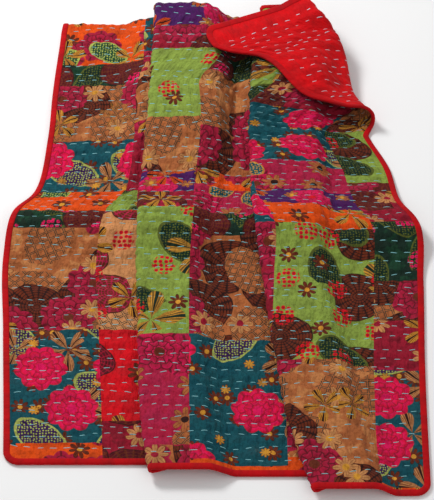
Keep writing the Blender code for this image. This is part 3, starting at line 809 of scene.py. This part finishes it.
def bound_edge(cloth, look):
    """The binding: a strip rolled round the edge, sewn down on the front and on the back."""
    edge, inward, gone = rim_places(0.006)
    # Across the strip, front to back: how far inside the edge, and the height over the middle surface
    profile = np.array([
        (BINDING_WIDTH + 0.0006, 0.0016), (BINDING_WIDTH, 0.0034), (BINDING_WIDTH - 0.0014, 0.0041),
        (0.0070, 0.0043), (0.0036, 0.0042), (0.0008, 0.0036), (-0.0012, 0.0020),
        (-0.0015, 0.0005), (-0.0012, -0.0012), (0.0008, -0.0025), (0.0040, -0.0029),
        (BINDING_WIDTH - 0.0014, -0.0028), (BINDING_WIDTH, -0.0023), (BINDING_WIDTH + 0.0006, -0.0010),
    ])
    inside = profile[:, 0][None, :]
    pucker = np.sin(gone * 2 * math.pi / 0.017)[:, None]
    pucker = pucker + 0.7 * np.sin(gone * 2 * math.pi / 0.0231 + 1)[:, None]
    height = profile[:, 1][None, :] * (1 + 0.035 * pucker)
    height = np.maximum(height, BINDING_BOTTOM)
    clamped = np.maximum(inside, 0.0)
    u = edge[:, 0][:, None] + inward[:, 0][:, None] * clamped
    v = edge[:, 1][:, None] + inward[:, 1][:, None] * clamped
    points = cloth.at(u, v, height)
    at_edge = cloth.at(edge[:, 0], edge[:, 1], np.zeros(len(edge)))
    within = edge + inward * 0.004
    out = at_edge - cloth.at(within[:, 0], within[:, 1], np.zeros(len(edge)))
    out /= np.linalg.norm(out, axis=1)[:, None]
    beyond = np.minimum(inside, 0.0) * np.ones_like(u)
    points = points - beyond[..., None] * out[:, None, :]
    rows, columns = u.shape
    faces = grid_faces(rows, columns)[:, ::-1]
    k = np.arange(columns - 1)
    last = (rows - 1) * columns
    closing = np.stack([last + k, k, k + 1, last + k + 1], axis=1)
    faces = np.concatenate([faces, closing])
    across = np.linspace(0, 0.026, columns)[None, :] * np.ones((rows, 1))
    uvs = np.stack([(gone[:, None] * np.ones((1, columns))).ravel(), across.ravel()], axis=1)
    return new_object("bound_edge", points.reshape(-1, 3), faces, uvs, [look])


def colour(red, green, blue):
    """A colour given in 0 to 255 as seen, as the shader wants it."""
    def linear(c):
        c /= 255
        return c / 12.92 if c <= 0.04045 else ((c + 0.055) / 1.055) ** 2.4
    return (linear(red), linear(green), linear(blue), 1.0)


INK = {
    "teal": colour(16, 88, 98), "deep_teal": colour(10, 58, 72), "tan": colour(184, 106, 58),
    "light_tan": colour(206, 142, 86), "maroon": colour(92, 20, 30), "brown": colour(112, 46, 24),
    "dark_brown": colour(50, 22, 18), "magenta": colour(188, 32, 74), "crimson": colour(164, 22, 48),
    "pink": colour(238, 20, 96), "red": colour(222, 12, 28), "orange": colour(236, 82, 14),
    "gold": colour(222, 156, 52), "lime": colour(142, 166, 70), "pale_lime": colour(184, 196, 92),
    "green": colour(30, 74, 48), "dark_green": colour(16, 46, 34), "purple": colour(82, 22, 96),
    "peach": colour(214, 146, 92), "olive": colour(96, 104, 38), "slate": colour(44, 62, 50),
    "violet": colour(60, 30, 84),
}


class Graph:
    """A material's nodes, with short ways to add the ones that are used here."""

    def __init__(self, name):
        self.material = bpy.data.materials.new(name)
        self.material.use_nodes = True
        self.tree = self.material.node_tree
        self.shader = self.tree.nodes["Principled BSDF"]

    def add(self, kind, inputs=(), **settings):
        node = self.tree.nodes.new(kind)
        for key, value in settings.items():
            setattr(node, key, value)
        for key, value in dict(inputs).items():
            self.give(node.inputs[key], value)
        return node

    def give(self, socket, value):
        if isinstance(value, bpy.types.NodeSocket):
            self.tree.links.new(value, socket)
        else:
            socket.default_value = value

    def math(self, operation, *values, clamp=False):
        node = self.add("ShaderNodeMath", enumerate(values), operation=operation)
        node.use_clamp = clamp
        return node.outputs[0]

    def times(self, a, b):
        return self.math("MULTIPLY", a, b)

    def plus(self, a, b):
        return self.math("ADD", a, b)

    def minus(self, a, b):
        return self.math("SUBTRACT", a, b)

    def vector(self, operation, a, b=None):
        values = [a] if b is None else [a, b]
        node = self.add("ShaderNodeVectorMath", enumerate(values), operation=operation)
        return node.outputs["Value" if operation == "LENGTH" else "Vector"]

    def mix(self, amount, under, over, blend="MIX"):
        node = self.add("ShaderNodeMix", data_type="RGBA", blend_type=blend)
        for key, value in ((0, amount), (6, under), (7, over)):
            self.give(node.inputs[key], value)
        return node.outputs[2]

    def step(self, value, edge, soft=0.001):
        """1 where the value is below the edge, softly."""
        node = self.add("ShaderNodeMapRange", interpolation_type="SMOOTHSTEP")
        self.give(node.inputs["Value"], self.minus(edge, value))
        self.give(node.inputs["From Min"], -soft)
        self.give(node.inputs["From Max"], soft)
        return node.outputs[0]

    def noise(self, at, scale, detail=2.0, rough=0.5):
        inputs = {"Vector": at, "Scale": scale, "Detail": detail, "Roughness": rough}
        return self.add("ShaderNodeTexNoise", inputs, noise_dimensions="2D").outputs["Fac"]

    def cells(self, at, size, seed, random=0.7):
        """Motif places: x and y from the nearest one, its distance and angle, and a random value."""
        moved = self.vector("ADD", at, (seed * 0.37, seed * 0.61, 0.0))
        inputs = {"Vector": moved, "Scale": 1 / size, "Randomness": random}
        node = self.add("ShaderNodeTexVoronoi", inputs, voronoi_dimensions="2D")
        local = self.vector("SUBTRACT", moved, node.outputs["Position"])
        tint = self.add("ShaderNodeSeparateColor", {"Color": node.outputs["Color"]})
        spin = self.times(tint.outputs[0], 6.28)
        turned = self.add("ShaderNodeVectorRotate", {"Vector": local, "Angle": spin}, rotation_type="Z_AXIS")
        place = self.add("ShaderNodeSeparateXYZ", {"Vector": turned.outputs[0]})
        x, y = place.outputs[0], place.outputs[1]
        angle = self.math("ARCTAN2", y, x)
        return x, y, self.vector("LENGTH", local), angle, tint.outputs[1]


def bloom(g, at, under, seed, cell, reach, inks, petals=9, share=1.0):
    """Round many-petalled flowers in three tiers, dark between the petals."""
    _, _, r, angle, chance = g.cells(at, cell, seed)
    wave = g.math("COSINE", g.times(angle, petals / 2))
    wobble = g.times(g.math("ABSOLUTE", wave), 0.16)
    edge = g.times(g.plus(wobble, 0.84), reach)
    picked = g.step(chance, share, 0.01)
    whole = g.times(g.step(r, edge, 0.0012), picked)
    ring = g.math("DIVIDE", r, edge)
    tier = g.math("FLOOR", g.times(ring, 4.0))
    shifted = g.plus(g.times(angle, petals / 2), g.times(tier, 1.57))
    gap = g.math("ABSOLUTE", g.math("COSINE", shifted))
    in_tier = g.math("FRACT", g.times(ring, 4.0))
    lines = g.math("MAXIMUM", g.step(gap, 0.22, 0.12), g.step(in_tier, 0.16, 0.06))
    tone = g.mix(g.times(in_tier, 0.7), inks[0], inks[1])
    drawn = g.mix(g.times(lines, 0.85), tone, inks[2])
    heart = g.step(ring, 0.20, 0.03)
    drawn = g.mix(heart, drawn, inks[3])
    return g.mix(whole, under, drawn)


def lace_round(g, at, under, seed, cell, reach, inks, share=1.0):
    """Rounds filled with a lace of small petals in rings."""
    _, _, r, angle, chance = g.cells(at, cell, seed, 0.8)
    edge = g.plus(g.times(g.math("COSINE", g.times(angle, 3.0)), reach * 0.07), reach)
    whole = g.times(g.step(r, edge, 0.0012), g.step(chance, share, 0.01))
    rings = g.math("ABSOLUTE", g.math("SINE", g.times(r, math.pi / 0.0062)))
    spokes = g.math("ABSOLUTE", g.math("SINE", g.times(angle, 9.0)))
    lace = g.step(g.times(rings, spokes), 0.30, 0.12)
    rim = g.times(g.step(edge, g.plus(r, 0.0022), 0.0008), whole)
    drawn = g.mix(lace, inks[0], inks[1])
    drawn = g.mix(rim, drawn, inks[2])
    return g.mix(whole, under, drawn)


def trellis(g, at, under, seed, cell, reach, inks, share=1.0):
    """Ovals filled with a slanted trellis of double lines."""
    x, y, _, _, chance = g.cells(at, cell, seed, 0.8)
    oval = g.plus(g.math("POWER", g.math("DIVIDE", x, reach), 2.0),
                  g.math("POWER", g.math("DIVIDE", y, reach * 0.66), 2.0))
    whole = g.times(g.step(oval, 1.0, 0.03), g.step(chance, share, 0.01))
    scale = math.pi / 0.0240
    a = g.math("ABSOLUTE", g.math("SINE", g.times(g.plus(x, y), scale)))
    b = g.math("ABSOLUTE", g.math("SINE", g.times(g.minus(x, y), scale)))
    near = g.math("MINIMUM", a, b)
    bars = g.minus(g.step(near, 0.44, 0.05), g.step(near, 0.18, 0.05))
    drawn = g.mix(bars, inks[0], inks[1])
    return g.mix(whole, under, drawn)


def dotted(g, at, under, seed, cell, reach, inks, share=1.0):
    """Rounded shapes with a ring of the second ink, full of small dots."""
    x, y, _, _, chance = g.cells(at, cell, seed, 0.8)
    oval = g.plus(g.math("POWER", g.math("DIVIDE", x, reach), 2.0),
                  g.math("POWER", g.math("DIVIDE", y, reach * 0.58), 2.0))
    whole = g.times(g.step(oval, 1.0, 0.03), g.step(chance, share, 0.01))
    spots = g.cells(at, 0.0058, seed + 11, 0.45)[2]
    drawn = g.mix(g.step(spots, 0.0016, 0.0004), inks[0], inks[1])
    rim = g.times(g.step(0.80, oval, 0.05), whole)
    drawn = g.mix(g.times(rim, 0.8), drawn, inks[1])
    return g.mix(whole, under, drawn)


def leaves(g, at, under, seed, cell, reach, inks, share=1.0, blades=5.0):
    """Fans of pointed leaves, each with a dark midrib and fine lines beside it."""
    _, _, r, angle, chance = g.cells(at, cell, seed, 0.8)
    fold = g.times(angle, blades / 2)
    blade = g.math("ABSOLUTE", g.math("COSINE", fold))
    ring = g.math("DIVIDE", r, reach)
    width = g.minus(1.0, g.times(g.times(ring, g.minus(1.0, ring)), 1.6))
    inside = g.times(g.step(width, blade, 0.05), g.step(r, reach, 0.001))
    whole = g.times(inside, g.step(chance, share, 0.01))
    veins = g.step(g.math("SINE", g.times(blade, 58.0)), -0.1, 0.35)
    drawn = g.mix(g.times(veins, 0.75), inks[0], inks[1])
    rib = g.step(0.988, blade, 0.006)
    drawn = g.mix(rib, drawn, inks[2])
    return g.mix(whole, under, drawn)


def daisies(g, at, under, seed, cell, reach, inks, share=1.0, petals=8):
    """Small open flowers with a dark outline and a dotted heart."""
    _, _, r, angle, chance = g.cells(at, cell, seed, 0.8)
    lobe = g.math("POWER", g.math("ABSOLUTE", g.math("COSINE", g.times(angle, petals / 2))), 0.6)
    edge = g.times(g.plus(g.times(lobe, 0.72), 0.28), reach)
    picked = g.step(chance, share, 0.01)
    outer = g.times(g.step(r, edge, 0.0006), picked)
    inner = g.times(g.step(g.plus(r, 0.0013), edge, 0.0005), picked)
    vein = g.step(g.math("ABSOLUTE", g.math("SINE", g.times(angle, petals / 2))), 0.12, 0.05)
    drawn = g.mix(g.times(vein, 0.6), inks[0], inks[1])
    drawn = g.mix(g.step(r, reach * 0.26, 0.0006), drawn, inks[2])
    under = g.mix(outer, under, inks[1])
    return g.mix(inner, under, drawn)


def berries(g, at, under, seed, cell, reach, inks, share=1.0):
    """Clusters of small round berries."""
    _, _, r, _, chance = g.cells(at, cell, seed, 0.8)
    near = g.times(g.step(r, reach, 0.002), g.step(chance, share, 0.01))
    spot = g.cells(at, 0.0105, seed + 17, 0.35)[2]
    berry = g.times(g.step(spot, 0.0042, 0.0004), near)
    drawn = g.mix(g.step(spot, 0.0016, 0.0004), inks[0], inks[1])
    return g.mix(berry, under, drawn)


# The prints: each cloth's ground, and its motifs from the ones at the back to the ones on top.
# A motif has its form, a seed, the size of its cells, its reach, its inks and its share of the cells.
PRINTS = {
    "teal": ("teal", "deep_teal", (
        (daisies, 1, 0.046, 0.019, ("brown", "dark_brown", "gold"), 0.60),
        (dotted, 2, 0.125, 0.062, ("violet", "pale_lime"), 0.55),
        (leaves, 3, 0.130, 0.054, ("light_tan", "brown", "dark_brown"), 0.38),
        (daisies, 41, 0.070, 0.012, ("gold", "brown", "gold"), 0.50),
        (bloom, 4, 0.140, 0.054, ("pink", "red", "crimson", "pink"), 0.72),
    )),
    "tan": ("tan", "light_tan", (
        (trellis, 6, 0.120, 0.070, ("tan", "slate"), 0.75),
        (lace_round, 7, 0.125, 0.060, ("brown", "dark_brown", "dark_brown"), 0.62),
        (bloom, 8, 0.140, 0.058, ("crimson", "magenta", "maroon", "brown"), 0.62),
        (daisies, 5, 0.090, 0.027, ("light_tan", "brown", "gold"), 0.55),
        (leaves, 42, 0.150, 0.042, ("gold", "brown", "dark_brown"), 0.28),
    )),
    "lime": ("lime", "lime", (
        (lace_round, 10, 0.160, 0.060, ("brown", "dark_brown", "dark_brown"), 0.50),
        (dotted, 9, 0.125, 0.064, ("dark_green", "olive"), 0.62),
        (leaves, 11, 0.150, 0.070, ("gold", "dark_green", "dark_green"), 0.50),
        (berries, 12, 0.100, 0.024, ("red", "crimson"), 0.62),
        (daisies, 43, 0.085, 0.020, ("brown", "dark_brown", "gold"), 0.35),
    )),
    "magenta": ("crimson", "maroon", (
        (lace_round, 14, 0.120, 0.054, ("maroon", "brown", "dark_brown"), 0.62),
        (bloom, 15, 0.120, 0.056, ("magenta", "crimson", "maroon", "brown"), 0.62),
        (daisies, 13, 0.085, 0.028, ("light_tan", "brown", "crimson"), 0.50),
        (leaves, 16, 0.130, 0.046, ("gold", "brown", "dark_brown"), 0.40),
    )),
    "orange": ("orange", "orange", (
        (bloom, 19, 0.120, 0.050, ("crimson", "magenta", "maroon", "brown"), 0.60),
        (daisies, 17, 0.052, 0.021, ("brown", "dark_brown", "gold"), 0.60),
        (dotted, 18, 0.130, 0.050, ("green", "pale_lime"), 0.40),
        (leaves, 20, 0.120, 0.050, ("gold", "brown", "dark_brown"), 0.55),
    )),
    "purple": ("purple", "violet", (
        (bloom, 22, 0.125, 0.046, ("pink", "magenta", "crimson", "red"), 0.65),
        (daisies, 21, 0.050, 0.018, ("tan", "dark_brown", "gold"), 0.45),
        (leaves, 23, 0.100, 0.044, ("orange", "brown", "dark_brown"), 0.45),
    )),
    "peach": ("peach", "peach", (
        (trellis, 44, 0.130, 0.060, ("peach", "slate"), 0.50),
        (lace_round, 25, 0.125, 0.052, ("brown", "magenta", "dark_brown"), 0.55),
        (berries, 45, 0.090, 0.024, ("red", "crimson"), 0.55),
        (leaves, 26, 0.125, 0.050, ("gold", "brown", "dark_brown"), 0.50),
    )),
    "red": ("red", "red", (
        (leaves, 29, 0.110, 0.052, ("gold", "brown", "maroon"), 0.55),
        (daisies, 27, 0.070, 0.026, ("brown", "dark_brown", "gold"), 0.60),
        (lace_round, 28, 0.130, 0.044, ("maroon", "crimson", "dark_brown"), 0.45),
    )),
    "brown": ("tan", "tan", (
        (lace_round, 46, 0.115, 0.066, ("brown", "dark_brown", "dark_brown"), 0.75),
        (trellis, 47, 0.130, 0.062, ("tan", "slate"), 0.55),
        (bloom, 31, 0.125, 0.060, ("crimson", "magenta", "maroon", "maroon"), 0.62),
        (daisies, 30, 0.080, 0.028, ("light_tan", "brown", "crimson"), 0.50),
        (leaves, 32, 0.140, 0.044, ("gold", "brown", "dark_brown"), 0.30),
    )),
    "crimson": ("magenta", "crimson", (
        (trellis, 36, 0.140, 0.052, ("tan", "slate"), 0.50),
        (bloom, 35, 0.130, 0.058, ("crimson", "pink", "maroon", "brown"), 0.62),
        (daisies, 33, 0.085, 0.030, ("tan", "brown", "dark_brown"), 0.60),
        (dotted, 34, 0.130, 0.042, ("teal", "gold"), 0.40),
    )),
    "green": ("dark_green", "green", (
        (dotted, 37, 0.100, 0.052, ("dark_green", "olive"), 0.75),
        (lace_round, 38, 0.120, 0.046, ("maroon", "brown", "dark_brown"), 0.55),
        (leaves, 39, 0.120, 0.050, ("gold", "dark_green", "dark_green"), 0.50),
        (berries, 48, 0.080, 0.022, ("pink", "magenta"), 0.60),
    )),
}


def cloth_surface(g, at, base, weave=1500.0, crinkle=0.75, speckle=0.28):
    """The finish that the cottons share: threads, small crinkles, worn tones and a soft sheen."""
    mottle = g.noise(at, 30.0, 3.0)
    worn = g.times(g.minus(mottle, 0.42), 0.8)
    toned = g.mix(g.math("ADD", worn, 0.05, clamp=True), base, (0.02, 0.010, 0.012, 1.0))
    flecks = g.times(g.step(g.noise(at, 165.0, 2.0), 0.44, 0.08), speckle)
    toned = g.mix(flecks, toned, (0.35, 0.25, 0.22, 1.0), "MULTIPLY")
    place = g.add("ShaderNodeSeparateXYZ", {"Vector": at})
    warp = g.math("SINE", g.times(place.outputs[0], weave * 6.283))
    weft = g.math("SINE", g.times(place.outputs[1], weave * 6.283))
    threads = g.times(warp, weft)
    shade = g.times(g.plus(threads, 1.0), 0.16)
    toned = g.mix(shade, toned, (0.30, 0.26, 0.26, 1.0), "MULTIPLY")
    fine = g.noise(at, 210.0, 3.0, 0.6)
    ribs = g.noise(g.vector("MULTIPLY", at, (1.0, 0.42, 1.0)), 78.0, 2.0)
    height = g.plus(g.times(fine, 0.0010), g.times(ribs, 0.0085))
    height = g.plus(height, g.times(threads, 0.00004))
    bump = g.add("ShaderNodeBump", {"Height": height, "Strength": crinkle, "Distance": 1.0})
    shader = g.shader
    g.give(shader.inputs["Base Color"], toned)
    g.give(shader.inputs["Normal"], bump.outputs[0])
    rough = g.plus(g.times(fine, 0.16), 0.78)
    g.give(shader.inputs["Roughness"], rough)
    shader.inputs["Sheen Weight"].default_value = 0.03
    shader.inputs["Sheen Roughness"].default_value = 0.45
    shader.inputs["Specular IOR Level"].default_value = 0.12


def printed_cotton(name):
    ground, second, motifs = PRINTS[name]
    g = Graph("cotton_" + name)
    at = g.add("ShaderNodeUVMap", uv_map="cloth").outputs[0]
    blot = g.step(g.noise(at, 30.0, 2.0), 0.47, 0.03)
    base = g.mix(g.times(blot, 0.5), INK[ground], INK[second])
    for form, seed, cell, reach, inks, share in motifs:
        base = form(g, at, base, seed, cell, reach, [INK[ink] for ink in inks], share=share)
    cloth_surface(g, at, base)
    return g.material


def plain_cotton(name, base, weave=1300.0, crinkle=0.75):
    g = Graph(name)
    at = g.add("ShaderNodeUVMap", uv_map="cloth").outputs[0]
    cloth_surface(g, at, base, weave, crinkle, 0.12)
    return g.material


def thread_cotton(name, base):
    """Twisted thread: fine slanted ridges along each stitch."""
    g = Graph(name)
    at = g.add("ShaderNodeUVMap", uv_map="cloth").outputs[0]
    place = g.add("ShaderNodeSeparateXYZ", {"Vector": at})
    slant = g.plus(g.times(place.outputs[0], 5200.0), g.times(place.outputs[1], 40.0))
    ply = g.math("SINE", slant)
    toned = g.mix(g.times(g.plus(ply, 1.0), 0.12), base, (0.10, 0.14, 0.16, 1.0))
    height = g.times(ply, THREAD_RIDGE)
    bump = g.add("ShaderNodeBump", {"Height": height, "Strength": 0.5, "Distance": 1.0})
    g.give(g.shader.inputs["Base Color"], toned)
    g.give(g.shader.inputs["Normal"], bump.outputs[0])
    g.give(g.shader.inputs["Roughness"], g.plus(g.times(ply, 0.06), 0.62))
    g.shader.inputs["Sheen Weight"].default_value = 0.15
    return g.material


def studio(target):
    """A plain pale floor, soft lights, and a camera at the photograph's angle."""
    g = Graph("pale_floor")
    where = g.add("ShaderNodeNewGeometry").outputs["Position"]
    grain = g.add("ShaderNodeTexNoise", {"Vector": where, "Scale": 6.0, "Detail": 3.0}).outputs["Fac"]
    tone = g.mix(g.times(grain, 0.25), (0.90, 0.90, 0.90, 1.0), (0.86, 0.86, 0.855, 1.0))
    g.give(g.shader.inputs["Base Color"], tone)
    g.give(g.shader.inputs["Roughness"], g.plus(g.times(grain, 0.1), 0.7))
    mesh = bpy.data.meshes.new("floor")
    size = 14.0
    corners = [(-size, -size, 0), (size, -size, 0), (size, size, 0), (-size, size, 0)]
    mesh.from_pydata(corners, [], [(0, 1, 2, 3)])
    mesh.materials.append(g.material)
    floor = bpy.data.objects.new("floor", mesh)
    bpy.context.collection.objects.link(floor)

    world = bpy.data.worlds.new("soft_room")
    world.use_nodes = True
    room = world.node_tree.nodes["Background"]
    room.inputs["Color"].default_value = (1.0, 1.0, 1.0, 1.0)
    room.inputs["Strength"].default_value = 0.50
    bpy.context.scene.world = world
    for name, place, size, energy in LIGHTS:
        lamp = bpy.data.lights.new(name, "AREA")
        lamp.size = size
        lamp.energy = energy
        thing = bpy.data.objects.new(name, lamp)
        thing.location = Vector(place) + target
        thing.rotation_euler = (-Vector(place)).to_track_quat("-Z", "Y").to_euler()
        bpy.context.collection.objects.link(thing)

    lens = bpy.data.cameras.new("camera")
    lens.sensor_fit = "HORIZONTAL"
    lens.sensor_width = 36
    lens.lens = lens.sensor_width * CAMERA_DISTANCE / VIEW_WIDTH
    lens.clip_end = 100
    camera = bpy.data.objects.new("camera", lens)
    elevation = math.radians(CAMERA_ELEVATION)
    back = Vector((0.0, -math.cos(elevation), math.sin(elevation)))
    camera.location = target + back * CAMERA_DISTANCE
    camera.rotation_euler = (-back).to_track_quat("-Z", "Y").to_euler()
    bpy.context.collection.objects.link(camera)
    bpy.context.scene.camera = camera
    bpy.context.scene.view_settings.view_transform = "Standard"


def build():
    cloth = Cloth()
    edge_u = np.linspace(0, WIDTH, 300)
    edge_v = np.linspace(0, LENGTH, 300)
    u, v = cloth_grid(edge_u, edge_v)
    middle = cloth.at(u, v, np.zeros(u.shape)).reshape(-1, 3)
    low, high = middle.min(axis=0), middle.max(axis=0)
    cad_low, cad_high = np.array(CAD_BOX[0]), np.array(CAD_BOX[1])
    shift = (cad_low + cad_high) / 2 - (low + high) / 2
    shift[2] = REST_LIFT
    cloth.shift(shift)

    fronts = [printed_cotton(name) for name in FABRICS]
    red = plain_cotton("cotton_backing", colour(222, 8, 18))
    bound = plain_cotton("cotton_binding", colour(196, 8, 18), crinkle=0.3)
    front = front_sheet(cloth, fronts)
    back = back_sheet(cloth, red)
    edge = bound_edge(cloth, bound)
    front_thread = thread_cotton("thread_aqua", colour(132, 200, 206))
    back_thread = thread_cotton("thread_pale", colour(214, 218, 232))
    front_stitches = stitches("stitches_front", cloth, True, 21, front_thread)
    back_stitches = stitches("stitches_back", cloth, False, 21, back_thread, rings=4, sides=5)

    for piece, node, slot in (
        (front, "quilt_top", "patchwork"), (front_stitches, "quilt_top", "patchwork"),
        (back, "quilt_backing", "backing"), (back_stitches, "quilt_backing", "backing"),
        (edge, "binding", "binding"),
    ):
        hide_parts(node)
    studio(Vector(shift))


build()
